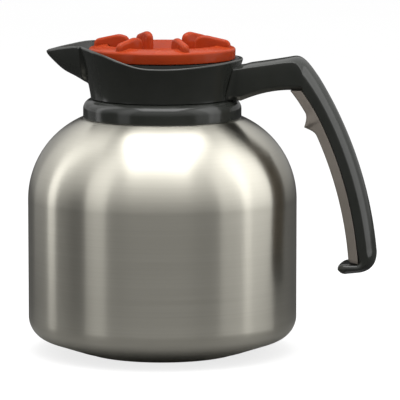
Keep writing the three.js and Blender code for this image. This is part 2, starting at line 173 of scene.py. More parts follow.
# ---- meshes -------------------------------------------------------------------------------
def skin(grid, wrap_rows=False, caps=False):
    """Faces over a grid of points whose columns close on themselves."""
    rows, columns = grid.shape[:2]
    index = np.arange(rows * columns).reshape(rows, columns)
    last = rows if wrap_rows else rows - 1
    here, above = index[:last], np.roll(index, -1, axis=0)[:last]
    corners = [here, np.roll(here, -1, axis=1), np.roll(above, -1, axis=1), above]
    faces = np.stack(corners, -1).reshape(-1, 4).tolist()
    if caps:
        faces += [index[0][::-1].tolist(), index[-1].tolist()]
    return grid.reshape(-1, 3), faces


def mesh_object(name, points, faces, sharp=SHARP):
    """A closed mesh from millimetre points: merged, faced outwards and smooth up to that angle."""
    mesh = bpy.data.meshes.new(name)
    mesh.from_pydata((np.asarray(points) * MM).tolist(), [], faces)
    work = bmesh.new()
    work.from_mesh(mesh)
    bmesh.ops.remove_doubles(work, verts=work.verts, dist=2e-6)
    bmesh.ops.recalc_face_normals(work, faces=work.faces)
    work.to_mesh(mesh)
    work.free()
    mesh.shade_smooth()
    mesh.set_sharp_from_angle(angle=math.radians(sharp))
    made = bpy.data.objects.new(name, mesh)
    bpy.context.scene.collection.objects.link(made)
    return made


def lathe(name, profile, facets=ROUND, axis=2, centre=(0, 0, 0)):
    """A turned piece from a (radius, height) outline, round an axis through centre."""
    profile = np.array(profile, float)
    angle = np.linspace(0, 2 * math.pi, facets, endpoint=False)
    radius, height = profile[:, :1], profile[:, 1:2]
    across, up = radius * np.cos(angle), radius * np.sin(angle)
    along = np.broadcast_to(height, across.shape)
    parts = (across, up, along) if axis == 2 else (along, across, up)
    offset = np.array(centre, float)
    offset[axis] = 0
    on_axis = profile[0, 0] == 0 and profile[-1, 0] == 0
    grid = np.stack(parts, -1) + offset
    return mesh_object(name, *skin(grid, wrap_rows=not on_axis))


def slab(name, outline, half, edge, place, steps=5):
    """An outline given thickness to both sides, with round edges.

    place turns points of the outline and a depth to the side into x, y, z.
    """
    outline = np.array(outline, float)
    ahead, behind = np.roll(outline, -1, axis=0), np.roll(outline, 1, axis=0)
    along = ahead - behind
    normal = np.stack([along[:, 1], -along[:, 0]], -1) / np.linalg.norm(along, axis=1)[:, None]
    area = np.sum(behind[:, 0] * outline[:, 1] - outline[:, 0] * behind[:, 1])
    inward = -normal if area > 0 else normal
    turn = np.radians(np.linspace(90, 0, steps + 1))
    insets = [edge * (1 - math.cos(a)) for a in turn]
    depths = [half - edge + edge * math.sin(a) for a in turn]
    layers = list(zip(insets, depths)) + [(i, -d) for i, d in zip(insets[::-1], depths[::-1])]
    grid = np.stack([place(outline + inward * inset, depth) for inset, depth in layers])
    return mesh_object(name, *skin(grid, caps=True))


def block(x, y, z, corner=1.0):
    """A cutting tool: a box with rounded edges along X, from pairs of limits."""
    shape = rounded([(y[0], z[0]), (y[1], z[0]), (y[1], z[1]), (y[0], z[1])], corner)
    grid = np.stack([np.insert(shape, 0, at, axis=1) for at in x])
    return mesh_object("tool", *skin(grid, caps=True))


def combine(base, tools, operation):
    """Adds the tools to a mesh or cuts them out of it, and removes them."""
    for tool in tools:
        modifier = base.modifiers.new("combine", "BOOLEAN")
        modifier.operation = operation
        modifier.solver = "MANIFOLD"
        modifier.object = tool
    evaluated = base.evaluated_get(bpy.context.evaluated_depsgraph_get())
    mesh = bpy.data.meshes.new_from_object(evaluated)
    base.modifiers.clear()
    base.data = mesh
    mesh.shade_smooth()
    mesh.set_sharp_from_angle(angle=math.radians(SHARP))
    for tool in tools:
        bpy.data.objects.remove(tool)
    return base


# ---- materials ----------------------------------------------------------------------------
def add(tree, kind, inputs=None, **settings):
    """A shader node with its settings, and each input set to a number or linked to a socket."""
    made = tree.nodes.new("ShaderNode" + kind)
    for key, value in settings.items():
        setattr(made, key, value)
    for key, value in (inputs or {}).items():
        if isinstance(value, bpy.types.NodeSocket):
            tree.links.new(value, made.inputs[key])
        else:
            made.inputs[key].default_value = value
    return made


def shader(name, inputs):
    """A new material with a principled shader, and its node tree."""
    material = bpy.data.materials.new(name)
    material.use_nodes = True
    tree = material.node_tree
    principled = tree.nodes["Principled BSDF"]
    for key, value in inputs.items():
        principled.inputs[key].default_value = value
    return material, tree, principled


def math_node(tree, operation, first, second):
    return add(tree, "Math", {0: first, 1: second}, operation=operation).outputs["Value"]


def noise(tree, vector, scale, detail=3.0, roughness=0.55):
    inputs = {"Vector": vector, "Scale": scale, "Detail": detail, "Roughness": roughness}
    return add(tree, "TexNoise", inputs).outputs["Fac"]


def spread(tree, value, low, high, start=0.3, end=0.7):
    """A noise value stretched to run from low to high."""
    inputs = {"Value": value, "From Min": start, "From Max": end, "To Min": low, "To Max": high}
    return add(tree, "MapRange", inputs).outputs["Result"]


def mixed(tree, factor, first, second):
    """A colour between two, by a value from 0 to 1."""
    inputs = {"Factor": factor, "A": (*first, 1), "B": (*second, 1)}
    return add(tree, "Mix", inputs, data_type="RGBA").outputs["Result"]


def finish_nodes(tree, principled, colour, roughness, height, distance):
    tree.links.new(colour, principled.inputs["Base Color"])
    tree.links.new(roughness, principled.inputs["Roughness"])
    bump = add(tree, "Bump", {"Height": height, "Distance": distance, "Strength": 1.0})
    tree.links.new(bump.outputs["Normal"], principled.inputs["Normal"])


def moulded(name, first, second, roughness, grain, distance, cloud=45.0, **inputs):
    """Moulded plastic or rubber: cloudy tone, uneven gloss and a fine mould grain."""
    material, tree, principled = shader(name, {k.replace("_", " "): v for k, v in inputs.items()})
    place = add(tree, "TexCoord").outputs["Object"]
    tone = spread(tree, noise(tree, place, cloud), 0, 1)
    gloss = noise(tree, place, cloud * 6, 5)
    fine = noise(tree, place, grain, 2)
    finish_nodes(
        tree,
        principled,
        mixed(tree, tone, first, second),
        spread(tree, gloss, *roughness),
        fine,
        distance,
    )
    return material


def brushed(name, first, second, roughness, anisotropy, lines=2600.0, distance=4e-7):
    """Spun and brushed steel: fine lines round the axis, in bands of slightly changing tone."""
    material, tree, principled = shader(
        name, {"Metallic": 1.0, "Anisotropic": anisotropy, "Anisotropic Rotation": 0.25}
    )
    place = add(tree, "TexCoord").outputs["Object"]
    parts = add(tree, "SeparateXYZ", {"Vector": place})
    flat = add(tree, "CombineXYZ", {key: parts.outputs[key] for key in "XY"}).outputs["Vector"]
    radius = add(tree, "VectorMath", {0: flat}, operation="LENGTH").outputs["Value"]
    down = math_node(tree, "SUBTRACT", parts.outputs["Z"], radius)
    across = math_node(tree, "MULTIPLY", down, lines)
    spin = add(tree, "VectorMath", {0: flat, "Scale": 14.0}, operation="SCALE").outputs["Vector"]
    lane = add(tree, "CombineXYZ", {"Z": across}).outputs["Vector"]
    brush = add(tree, "VectorMath", {0: spin, 1: lane}, operation="ADD").outputs["Vector"]
    fine = noise(tree, brush, 1.0, 4, 0.65)
    broad = noise(tree, brush, 0.22, 2)
    tone = math_node(tree, "ADD", fine, broad)
    finish_nodes(
        tree,
        principled,
        mixed(tree, spread(tree, tone, 0, 1, 0.75, 1.25), first, second),
        spread(tree, tone, *roughness, 0.7, 1.3),
        fine,
        distance,
    )
    tangent = add(tree, "Tangent", direction_type="RADIAL", axis="Z")
    tree.links.new(tangent.outputs["Tangent"], principled.inputs["Tangent"])
    return material


finishes = {
    # a name, two colours to vary between, a range of roughness, and the numbers of the grain
    "brushed_steel": brushed(
        "steel_brushed", (0.635, 0.612, 0.530), (0.665, 0.642, 0.560), (0.28, 0.31), 0.94
    ),
    "liner_steel": brushed(
        "steel_liner", (0.58, 0.57, 0.55), (0.66, 0.65, 0.63), (0.34, 0.44), 0.4, 700.0
    ),
    "black_plastic": moulded(
        "plastic_black", (0.028, 0.030, 0.026), (0.034, 0.036, 0.032), (0.13, 0.19), 2600.0, 4e-6
    ),
    "grip_plastic": moulded(
        "plastic_grip", (0.202, 0.176, 0.150), (0.236, 0.208, 0.178), (0.50, 0.62), 3600.0, 3e-5
    ),
    "orange_plastic": moulded(
        "plastic_orange",
        (0.36, 0.042, 0.011),
        (0.42, 0.052, 0.013),
        (0.22, 0.30),
        1800.0,
        5e-6,
        Specular_IOR_Level=0.02,
        Coat_Weight=0.22,
        Coat_Roughness=0.12,
        Subsurface_Weight=0.12,
        Subsurface_Radius=(0.006, 0.0015, 0.0006),
        Subsurface_Scale=0.6,
    ),
    "natural_plastic": moulded(
        "plastic_natural", (0.66, 0.63, 0.56), (0.74, 0.71, 0.64), (0.32, 0.42), 2200.0, 8e-6
    ),
    "silicone": moulded(
        "silicone", (0.60, 0.575, 0.53), (0.68, 0.655, 0.61), (0.5, 0.62), 1700.0, 1e-5
    ),
    "rubber": moulded(
        "rubber", (0.020, 0.020, 0.020), (0.030, 0.030, 0.029), (0.68, 0.82), 3000.0, 4e-5
    ),
    "zinc": moulded(
        "zinc", (0.52, 0.53, 0.54), (0.62, 0.63, 0.64), (0.26, 0.40), 1500.0, 6e-6, Metallic=1.0
    ),
}


def dress(piece, *nodes):
    """The piece stands for these CAD nodes: it rides on their body and takes their finish."""
    first = frame["nodes"][nodes[0]]
    slot = first.data.materials[0].name
    piece.data.materials.clear()
    piece.data.materials.append(finishes[slot])
    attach(piece, first["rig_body"])
    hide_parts(*nodes)
    return piece


def refined(node, radius=0.3, facets=ROUND, axis=2):
    """A turned CAD node again, with a round outline and soft corners."""
    low, high = span(node)
    outline = rounded(node_profile(node, axis), radius)
    return dress(lathe(node + "_smooth", outline, facets, axis, (low + high) / 2), node)


# ---- steel body ---------------------------------------------------------------------------
DOME_ARC = 54.8  # radius of the arc that turns the wall into the dome
DOME_Z = 93.8
CORNER_R = 14.0  # the round lower corner
CORNER_Z = 21.6
CONE_TURN = 70.5  # degrees that the corner turns, from the wall to the base plate's cone
SHEET = 0.9
DOME_END_R = 50  # radius at which the dome ends, under the ring


def body_wall(body_r, inset, neck_r, seat, top):
    """One face of the shell, from the bottom corner up to the mouth."""
    dome_x = body_r - DOME_ARC
    radius = DOME_ARC - inset
    stop = math.degrees(math.acos((DOME_END_R - dome_x) / radius))
    bend = rounded([
        (DOME_END_R - 1, seat, 0),
        (neck_r, seat, 1.2),
        (neck_r, top, 0),
        (DOME_END_R + 10, top, 0),
    ])
    return np.concatenate([
        arc(body_r - CORNER_R, CORNER_Z, CORNER_R - inset, -CONE_TURN, 0, 24),
        arc(dome_x, DOME_Z, radius, 0, stop, 48),
        bend[1:-2],
        [(neck_r, top)],
    ])


def outer_shell():
    low, high = span("outer_shell")
    seat = span("lower_ring")[0][2] - 0.3
    neck_r = span("neck_ring")[1][0]
    outside = body_wall(high[0], 0, neck_r, seat, high[2])
    inside = body_wall(high[0], SHEET, neck_r - SHEET, seat, high[2])
    outline = np.concatenate([outside, inside[::-1]])
    return dress(lathe("shell_brushed", outline, FINE_ROUND), "outer_shell")


outer_shell()
refined("inner_flask", 0.4)
refined("base_plate", 0.5, FINE_ROUND)
refined("foot_pad", 0.5)
for hidden in ("vacuum_seal", "getter"):
    refined(hidden, 0.3, SMALL_ROUND)
for fitting in ("neck_ring", "neck_thread", "neck_gasket"):
    refined(fitting, 0.25)


# ---- lower ring ---------------------------------------------------------------------------
RING_TURN = 6.3  # radius of the ring's shoulder


def lower_ring():
    low, high = span("lower_ring")
    bore, ledge, step, edge = span("neck_thread")[1][0] + 0.3, 41.6, 1.1, 0.8
    shoulder = arc(high[0] - RING_TURN, high[2] - RING_TURN, RING_TURN, 0, 90, 24)
    foot = arc(high[0] - edge, low[2] + edge, edge, -90, 0, 6)
    under = [(ledge, high[2]), (ledge, high[2] - step), (bore, high[2] - step), (bore, low[2])]
    outline = np.concatenate([foot, shoulder, under])
    return dress(lathe("ring_lower", outline, FINE_ROUND), "lower_ring")


lower_ring()


# ---- pour collar --------------------------------------------------------------------------
collar_low = span("pour_collar")[0]
COLLAR_BASE = span("lower_ring")[1][2] + 0.3
COLLAR_BASE_R = 43.8
COLLAR_FLARE = 6.0  # how much wider the collar is at its rim
COLLAR_FLOOR = 158.4
COLLAR_WALL = 2.5
COLLAR_BORE = 37.2
COLLAR_LEDGE = 41.2
RIM_HANDLE = 181.0  # height of the rim at the handle
GROOVE_R = 39.6  # the retaining ring's groove
GROOVE_Z = (0.6, 1.9)  # above the collar's lower face
KEY_R = 42.2  # inner face of the key rib
KEY_HALF = 2.2
KEY_TOP = 176
SPOUT_TIP = collar_low[0]
SPOUT_ROOT = -47.3
SPOUT_HALF = 25.1
SPOUT_TIP_HALF = 3.0
SPOUT_NOSE = 3.0  # length of the rounded tip
SPOUT_WALL = 2.3
SPOUT_NARROWING = 0.45  # how fast the sides close again inside the collar
SPOUT_SIDE_TOP = 190  # above the highest rim
KEEL_TOP = 183.3
KEEL_DROP = 18.25
KEEL_LENGTH = 26.5
KEEL_CURVE = 0.76
BELLY = 1.25  # how much fuller the middle of the underside is than that curve
BELLY_AT = 11.2
BELLY_LENGTH = 6.5
CHANNEL_LIFT = 2.8
NO_SPOUT = 400.0  # a height that nothing reaches
LIP = 0.42  # share of the wall that each edge of the rim rounds off
CREASE = 1.2  # blend between the spout and the collar
rim = curve_through([
    (-76, 183.5),
    (-60, 187.2),
    (SPOUT_ROOT, 188.8),
    (-42, 188.1),
    (-31, 185.8),
    (-18, 181.9),
    (-10, 179.6),
    (-4, 178.5),
    (4, 178.1),
    (24, 178.7),
    (40, 180.3),
    (49.8, RIM_HANDLE),
    (60, 182),
])


def collar_radius(z):
    rise = np.clip((z - COLLAR_BASE) / (RIM_HANDLE - COLLAR_BASE), 0, None)
    return COLLAR_BASE_R + COLLAR_FLARE * rise**1.35


def soft_max(a, b, blend):
    return np.maximum(a, b) + np.maximum(blend - np.abs(a - b), 0) ** 2 / (4 * blend)


def spout_floor(x, y, wall, lift):
    """Height of the spout's U-shaped underside, or of its channel, above (x, y)."""
    slope = (SPOUT_HALF - SPOUT_TIP_HALF) / (SPOUT_ROOT - SPOUT_TIP - 0.8)
    straight = SPOUT_TIP_HALF + slope * (np.minimum(x, SPOUT_ROOT) - SPOUT_TIP - 0.8) - wall
    straight -= SPOUT_NARROWING * np.maximum(0, x - SPOUT_ROOT)
    from_tip = np.clip((x - SPOUT_TIP - 0.75 * wall) / SPOUT_NOSE, 0, 1)
    half = straight * np.sqrt(1 - (1 - from_tip) ** 2)
    along = np.clip((x - SPOUT_TIP) / (SPOUT_ROOT - SPOUT_TIP), 0, 1)
    belly = BELLY * np.exp(-(((x - SPOUT_TIP - BELLY_AT) / BELLY_LENGTH) ** 2))
    drop = KEEL_DROP * (np.maximum(0, x - SPOUT_TIP) / KEEL_LENGTH) ** KEEL_CURVE
    keel = KEEL_TOP - drop - belly + lift
    part = np.abs(y) / np.maximum(half, 1e-6)
    roundness = 2 + 1.4 * along
    floor = keel + (SPOUT_SIDE_TOP - keel) * np.minimum(1.08 * part**roundness, 1)
    return np.where((part < 1) & (half > 0), floor, NO_SPOUT)


def spout_reach(angle, z, wall, lift):
    """How far out the spout goes along a level line from the axis."""
    near, far = np.full(z.shape, 36.0), np.full(z.shape, 74.0)
    for _ in range(30):
        middle = (near + far) / 2
        inside = spout_floor(middle * np.cos(angle), middle * np.sin(angle), wall, lift) < z
        near, far = np.where(inside, middle, near), np.where(inside, far, middle)
    return near


def collar_outside(angle, z):
    return soft_max(collar_radius(z), spout_reach(angle, z, 0, 0), CREASE)


def collar_inside(angle, z):
    """Inner wall with the pour channel, and the key rib opposite the spout."""
    channel = spout_reach(angle, z, SPOUT_WALL, CHANNEL_LIFT)
    wall = soft_max(collar_radius(z) - COLLAR_WALL, channel, CREASE)
    side = np.clip((KEY_HALF - np.abs(wall * np.sin(angle))) / 0.4, 0, 1) * (np.cos(angle) > 0)
    height = np.clip((KEY_TOP - z) / 0.5, 0, 1)
    return wall + side * height * (np.minimum(wall, KEY_R) - wall)


def rim_height(angle, surface):
    """Where a wall meets the rim line, for each direction."""
    low, high = np.full(angle.shape, 170.0), np.full(angle.shape, 195.0)
    for _ in range(30):
        middle = (low + high) / 2
        under = rim(surface(angle, middle) * np.cos(angle)) > middle
        low, high = np.where(under, middle, low), np.where(under, high, middle)
    return low


def pour_collar():
    degrees = [
        np.arange(-3.6, 3.6, 0.3),
        np.arange(3.6, 146, 1.3),
        np.arange(146, 214, 0.3),
        np.arange(214, 356.4, 1.3),
    ]
    angle = np.radians(np.concatenate(degrees))
    top_out, top_in = rim_height(angle, collar_outside), rim_height(angle, collar_inside)
    thick = collar_outside(angle, top_out) - collar_inside(angle, top_in)
    lip = np.clip(LIP * thick, 0.3, 1.1)
    chamfer = 0.3
    foot_z = COLLAR_BASE + chamfer
    rows = []
    for part in np.linspace(0, 1, 100):
        z = foot_z + (top_out - lip - foot_z) * part
        rows.append((collar_outside(angle, z), z))
    edge_out, edge_in = collar_outside(angle, top_out - lip), collar_inside(angle, top_in - lip)
    for turn in np.radians(np.linspace(15, 90, 6)):
        rows.append((edge_out - lip * (1 - math.cos(turn)), top_out - lip * (1 - math.sin(turn))))
    for turn in np.radians(np.linspace(90, 15, 6)):
        rows.append((edge_in + lip * (1 - math.cos(turn)), top_in - lip * (1 - math.sin(turn))))
    for part in np.linspace(0, 1, 70):
        z = top_in - lip + (COLLAR_FLOOR + 1 - top_in + lip) * part
        rows.append((collar_inside(angle, z), z))
    bottom = collar_low[2]
    groove_low, groove_high = bottom + GROOVE_Z[0], bottom + GROOVE_Z[1]
    socket = [
        (COLLAR_LEDGE - 0.2, COLLAR_FLOOR),
        (COLLAR_BORE + chamfer, COLLAR_FLOOR),
        (COLLAR_BORE, COLLAR_FLOOR - chamfer),
        (COLLAR_BORE, bottom + 0.2),
        (COLLAR_BORE + 0.2, bottom),
        (COLLAR_LEDGE, bottom),
        (COLLAR_LEDGE, groove_low),
        (GROOVE_R, groove_low),
        (GROOVE_R, groove_high),
        (COLLAR_LEDGE, groove_high),
        (COLLAR_LEDGE, COLLAR_BASE),
        (COLLAR_BASE_R - chamfer, COLLAR_BASE),
    ]
    rows += [(np.full(angle.shape, r), np.full(angle.shape, z)) for r, z in socket]
    grid = np.stack([np.stack([r * np.cos(angle), r * np.sin(angle), z], -1) for r, z in rows])
    made = mesh_object("collar_with_spout", *skin(grid, wrap_rows=True))
    return dress(made, "pour_collar")


pour_collar()


# ---- handle -------------------------------------------------------------------------------
GRIP_X, GRIP_Z = -110.5, 41.1  # centre of the handle's concentric arcs
GRIP_FACE_R = 227.6
GRIP_SEAM_R = 233.7
BACK_R = 244.0
HANDLE_HALF = span("handle_frame")[1][1]
ROOT_X = 43.5
ROOT_TOP, ROOT_LOW = 177.2, 156.2
ROOT_BLEND = 13.0  # length over which the arm takes up the curve of the collar
ROOT_FILLET = 3.0
ARM_END = (81, 182.9)  # the arm's upper line, where the corner starts
ARM_UNDER = 163.1
ARM_LOW_END = (87.3, ARM_UNDER)
BACK_TOP, BACK_LOW = 169.5, 64  # heights between which the back is one arc
SEAM_TOP, SEAM_LOW = 161.6, 59
HOOK_TOP = 57.4
HOOK_UNDER = (122.5, 51.0)
HOOK_FROM, HOOK_OVER = 74, 18  # the section changes into the hook's below that height
HOOK_FLATTER = 0.55  # share of the extra crown that the hook loses
NOSE = (113.9, 53.6)
NOSE_R = 3.6
NOSE_BULGE = 1.4  # how far the middle of the nose stands out in front of its sides
NOSE_NARROWING = 3.4
ARM_CROWN = 2.1  # how far the back face falls from its middle to its edge, along the arm
BACK_CROWN = 5.6  # the same, down the handle
UPPER_CROWN = 1.0  # what the upper part of the back adds to that
UPPER_LENGTH = 100
UPPER_ROWS = 80  # rows along the arm and round the corner, over which x only rises
CORNER_X = 88  # the corner's middle is CORNER_PAST beyond this, along the upper line
CORNER_PAST = 6
CORNER_CROWN = 3.2  # what the corner adds to the crown
CORNER_SPREAD = 11
BACK_LEAD, SEAM_LEAD = 14, 6  # lengths before the corner's middle over which the section changes
CROWN_CURVE = 2.2
CHAMFER = 2.8  # under the arm
SEAM_EDGE = 0.35  # beside the grip
HOOK_EDGE = 2.0
EDGE_SOFT = 0.9  # size of the soft corner along the back's edge
LOWER_SOFT = 0.5  # the same, on the edges away from the back
HOOK_SOFTER = (1.0, 1.3)  # what the hook adds to those two
GRIP_BEND = 1.5
GRIP_BEND_FROM, GRIP_BEND_OVER = 146, 17
GRIP_EDGE = 2.0
GRIP_STOP = (88.9, 140.6)  # tip of the finger stop
STOP_START, STOP_END = 149.0, 135.4  # heights where it leaves the grip's face
RIDGE = 1.2
RIDGE_TOP = 146.5
RIDGE_FALL = (8, 2.5)  # length of the ridge above and below the tip


def circle_point(radius, z):
    return np.array([GRIP_X + math.sqrt(radius**2 - (z - GRIP_Z) ** 2), z])


def handle_arc(radius, top, bottom, steps):
    limits = [math.degrees(math.asin((z - GRIP_Z) / radius)) for z in (top, bottom)]
    return arc(GRIP_X, GRIP_Z, radius, *limits, steps)


def corner(before, point, after, size, steps=4):
    """A soft corner of about that size at a point of an outline."""
    before, point, after = (np.array(p, float) for p in (before, point, after))
    start = point + (before - point) * min(0.45, size / np.linalg.norm(before - point))
    end = point + (after - point) * min(0.45, size / np.linalg.norm(after - point))
    return bezier(start, point, end, steps=steps)


def ring_section(depth, half, crown, chamfer, soft, lower):
    """Points round a section: depth from the back face, and side. The back is crowned."""
    side = np.linspace(0, 1, 16)
    back = np.stack([crown * side**CROWN_CURVE, half * side], -1)
    low, bottom = (depth - chamfer, half), (depth, half - 0.8 * chamfer)
    ring = np.concatenate([
        back[:-1],
        corner(back[-2], back[-1], low, soft),
        corner(back[-1], low, bottom, min(lower, chamfer)),
        corner(low, bottom, (depth, 0), min(lower, chamfer)),
        np.stack([np.full(5, depth), np.linspace(half - chamfer - 0.8, 0, 6)[1:]], -1),
    ])
    return np.concatenate([ring, ring[-2:0:-1] * (1, -1)])


def top_bend(line):
    """Above the finger stop the seam and the grip lean further inwards than their arcs."""
    line = np.array(line)
    rise = np.clip((line[:, 1] - GRIP_BEND_FROM) / GRIP_BEND_OVER, 0, 1)
    line[:, 0] -= GRIP_BEND * rise**2
    return line


def handle_paths():
    """Matching points along the outer and the inner line of the handle, from collar to hook."""
    arm_top = bezier((ROOT_X, ROOT_TOP), (64, 179.7), ARM_END)
    arm_arc = arc(82, ARM_UNDER - 74, 74, 115.2, 90, 20)
    arm_low = np.concatenate([[(ROOT_X, ROOT_LOW)], arm_arc, [ARM_LOW_END]])
    armpit, seam_top = top_bend([circle_point(GRIP_SEAM_R, z) for z in (ARM_UNDER, SEAM_TOP)])
    seam = top_bend(handle_arc(GRIP_SEAM_R, SEAM_TOP, SEAM_LOW, 60))
    foot = circle_point(GRIP_SEAM_R, HOOK_TOP)
    foot_end = foot - (1.6, 0)
    back_top, back_low = (circle_point(BACK_R, z) for z in (BACK_TOP, BACK_LOW))
    pairs = [
        # outer line, inner line, points along each
        (arm_top, arm_low, 64),
        (
            bezier(ARM_END, (87.2, 184.1), (91.2, 177.8), back_top),
            bezier(ARM_LOW_END, armpit, seam_top),
            22,
        ),
        (handle_arc(BACK_R, BACK_TOP, BACK_LOW, 60), seam, 62),
        (
            bezier(back_low, (132.5, 57.0), (129.9, 52.4), HOOK_UNDER),
            bezier(circle_point(GRIP_SEAM_R, SEAM_LOW), foot, foot_end),
            24,
        ),
        (
            bezier(HOOK_UNDER, (NOSE[0] + 0.6, NOSE[1] - NOSE_R + 0.05)),
            bezier(foot_end, (NOSE[0] + 0.4, NOSE[1] + NOSE_R)),
            14,
        ),
    ]
    lines = []
    for line in (0, 1):
        arm = resample(pairs[0][line], pairs[0][2], ease=1.8)[:-1]
        rest = [resample(pair[line], pair[2])[:-1] for pair in pairs[1:]]
        lines.append(np.concatenate([arm, *rest]))
    return lines


def line_length(points):
    """Length along a line up to each of its points."""
    return np.cumsum(np.linalg.norm(np.diff(points, axis=0, prepend=points[:1]), axis=1))


def smooth_step(value):
    value = np.clip(value, 0, 1)
    return value * value * (3 - 2 * value)


def quarter_round(distance, radius):
    """How far a round fillet of that radius stands out, at a distance from the wall."""
    near = np.clip(1 - distance / radius, 0, 1)
    return radius * (1 - math.sqrt(1 - near**2))


def handle_frame():
    outer, inner = handle_paths()
    length = line_length(outer)
    corner_at = np.interp(CORNER_X, outer[:UPPER_ROWS, 0], length[:UPPER_ROWS]) + CORNER_PAST
    sections = []
    for back, front, at in zip(outer, inner, length):
        from_wall = back[0] - ROOT_X if back[1] > BACK_TOP else ROOT_BLEND
        grown = smooth_step(1 - from_wall / ROOT_BLEND)
        depth = np.linalg.norm(front - back)
        half = HANDLE_HALF + quarter_round(from_wall, ROOT_FILLET)
        past = at - corner_at
        down = smooth_step(1 + past / BACK_LEAD)
        hooked = smooth_step((HOOK_FROM - back[1]) / HOOK_OVER)
        crown = ARM_CROWN + (BACK_CROWN - ARM_CROWN) * down * (1 - HOOK_FLATTER * hooked)
        crown += CORNER_CROWN * math.exp(-((past / CORNER_SPREAD) ** 2))
        crown += UPPER_CROWN * down * smooth_step((UPPER_LENGTH - past) / UPPER_LENGTH)
        beside_grip = smooth_step(1 + past / SEAM_LEAD) * (1 - hooked)
        chamfer = CHAMFER + (SEAM_EDGE - CHAMFER) * beside_grip
        chamfer += (HOOK_EDGE - chamfer) * hooked
        soft, lower = EDGE_SOFT + HOOK_SOFTER[0] * hooked, LOWER_SOFT + HOOK_SOFTER[1] * hooked
        crown, chamfer = min(crown, 0.45 * depth), min(chamfer, 0.35 * depth)
        ring = ring_section(depth, half, crown, chamfer, soft, lower)
        line = back + ring[:, :1] * (front - back) / depth
        points = np.stack([line[:, 0], ring[:, 1], line[:, 1]], -1)
        wall = np.sqrt((collar_radius(points[:, 2]) + 0.12) ** 2 - points[:, 1] ** 2)
        points[:, 0] += grown * (wall - ROOT_X)
        sections.append(points)
    for turn in np.radians(np.linspace(0, 86, 12)):
        reach, rise = NOSE_R * math.sin(turn), NOSE_R * math.cos(turn)
        half = HANDLE_HALF - NOSE_NARROWING * (1 - math.cos(turn))
        crown, chamfer = min(2.2, 0.9 * rise), min(HOOK_EDGE, 0.7 * rise)
        soft, lower = EDGE_SOFT + HOOK_SOFTER[0], LOWER_SOFT + HOOK_SOFTER[1]
        ring = ring_section(2 * rise, half, crown, chamfer, soft, lower)
        bulge = NOSE_BULGE * math.sin(turn) * (1 - (ring[:, 1] / HANDLE_HALF) ** 2)
        x = NOSE[0] - reach - bulge
        sections.append(np.stack([x, ring[:, 1], NOSE[1] - rise + ring[:, 0]], -1))
    made = mesh_object("handle_frame_smooth", *skin(np.stack(sections), caps=True))
    return dress(made, "handle_frame")


def grip_section(depth, half, rise):
    """Like ring_section: flat at the seam, round at the fingers, its side raised by rise."""
    side = [(0, half), (0.6 * depth, half + rise), (depth, half + 0.2 * rise)]
    ring = np.concatenate([
        np.stack([np.zeros(6), np.linspace(0, half - 0.3, 7)[:-1]], -1),
        corner((0, 0), side[0], side[1], 0.3),
        corner(side[0], side[1], side[2], 2.0),
        corner(side[1], side[2], (depth, 0), GRIP_EDGE, 8),
        np.stack([np.full(6, depth), np.linspace(half - GRIP_EDGE, 0, 7)[1:]], -1),
    ])
    return np.concatenate([ring, ring[-2:0:-1] * (1, -1)])


def handle_grip():
    """Soft insert with one stop for the fingers. A low ridge runs from the stop to the seam."""
    seam = GRIP_SEAM_R - 0.3
    end_round = 1.2
    low, high = span("handle_grip")
    half = high[1]
    stop_start, stop_end = (circle_point(GRIP_FACE_R, z) for z in (STOP_START, STOP_END))
    above = bezier(stop_start, (90.6, 146.6), (90.2, 144.4), GRIP_STOP)
    below = bezier(GRIP_STOP, (92.6, 138.9), (95.4, 138.2), stop_end)
    face_above = handle_arc(GRIP_FACE_R, high[2], STOP_START, 20)
    face_below = handle_arc(GRIP_FACE_R, STOP_END, low[2] - 0.2, 40)
    parts = [
        # heights along the seam, the face in front of them, points along each
        ((high[2], 154, 20), face_above, 20),
        ((154, RIDGE_TOP, 20), above, 24),
        ((RIDGE_TOP, 136, 20), below, 24),
        ((136, low[2] - 1.4, 40), face_below, 70),
    ]
    backs, fronts = [], []
    for along_seam, face, count in parts:
        backs.append(resample(handle_arc(seam, *along_seam), count)[:-1])
        fronts.append(resample(face, count)[:-1])
    backs, fronts = top_bend(np.concatenate(backs)), top_bend(np.concatenate(fronts))
    length = line_length(fronts)
    tip_at = length[np.argmin(np.linalg.norm(fronts - GRIP_STOP, axis=1))]
    sections = []
    for back, front, at in zip(backs, fronts, length):
        from_end = min(1, (length[-1] - at) / end_round + 0.05)
        inset = end_round * (1 - math.sqrt(1 - (1 - from_end) ** 2))
        depth = np.linalg.norm(front - back) - inset
        past = at - tip_at
        rise = RIDGE * smooth_step(1 - abs(past) / RIDGE_FALL[0 if past < 0 else 1])
        ring = grip_section(depth, half - 0.6 * inset, rise)
        line = back + ring[:, :1] * (front - back) / np.linalg.norm(front - back)
        sections.append(np.stack([line[:, 0], ring[:, 1], line[:, 1]], -1))
    made = mesh_object("grip_insert", *skin(np.stack(sections), caps=True), sharp=50)
    return dress(made, "handle_grip")


handle_frame()
handle_grip()
for side in ("left", "right"):
    refined("handle_screw_" + side, 0.3, SMALL_ROUND, axis=0)


# ---- stopper ------------------------------------------------------------------------------
PORT_HALF, PORT_Z = 12, (161.6, 170)  # the pour port through the stopper and the sleeve
VENT_HALF, VENT_Z = 3, (164, 170)


def ports(port_x, vent_x):
    """Cutting tools for the pour port on the spout's side and the vent opposite it."""
    port = block(port_x, (-PORT_HALF, PORT_HALF), PORT_Z, 1.5)
    vent = block(vent_x, (-VENT_HALF, VENT_HALF), VENT_Z, 1.2)
    return [port, vent]


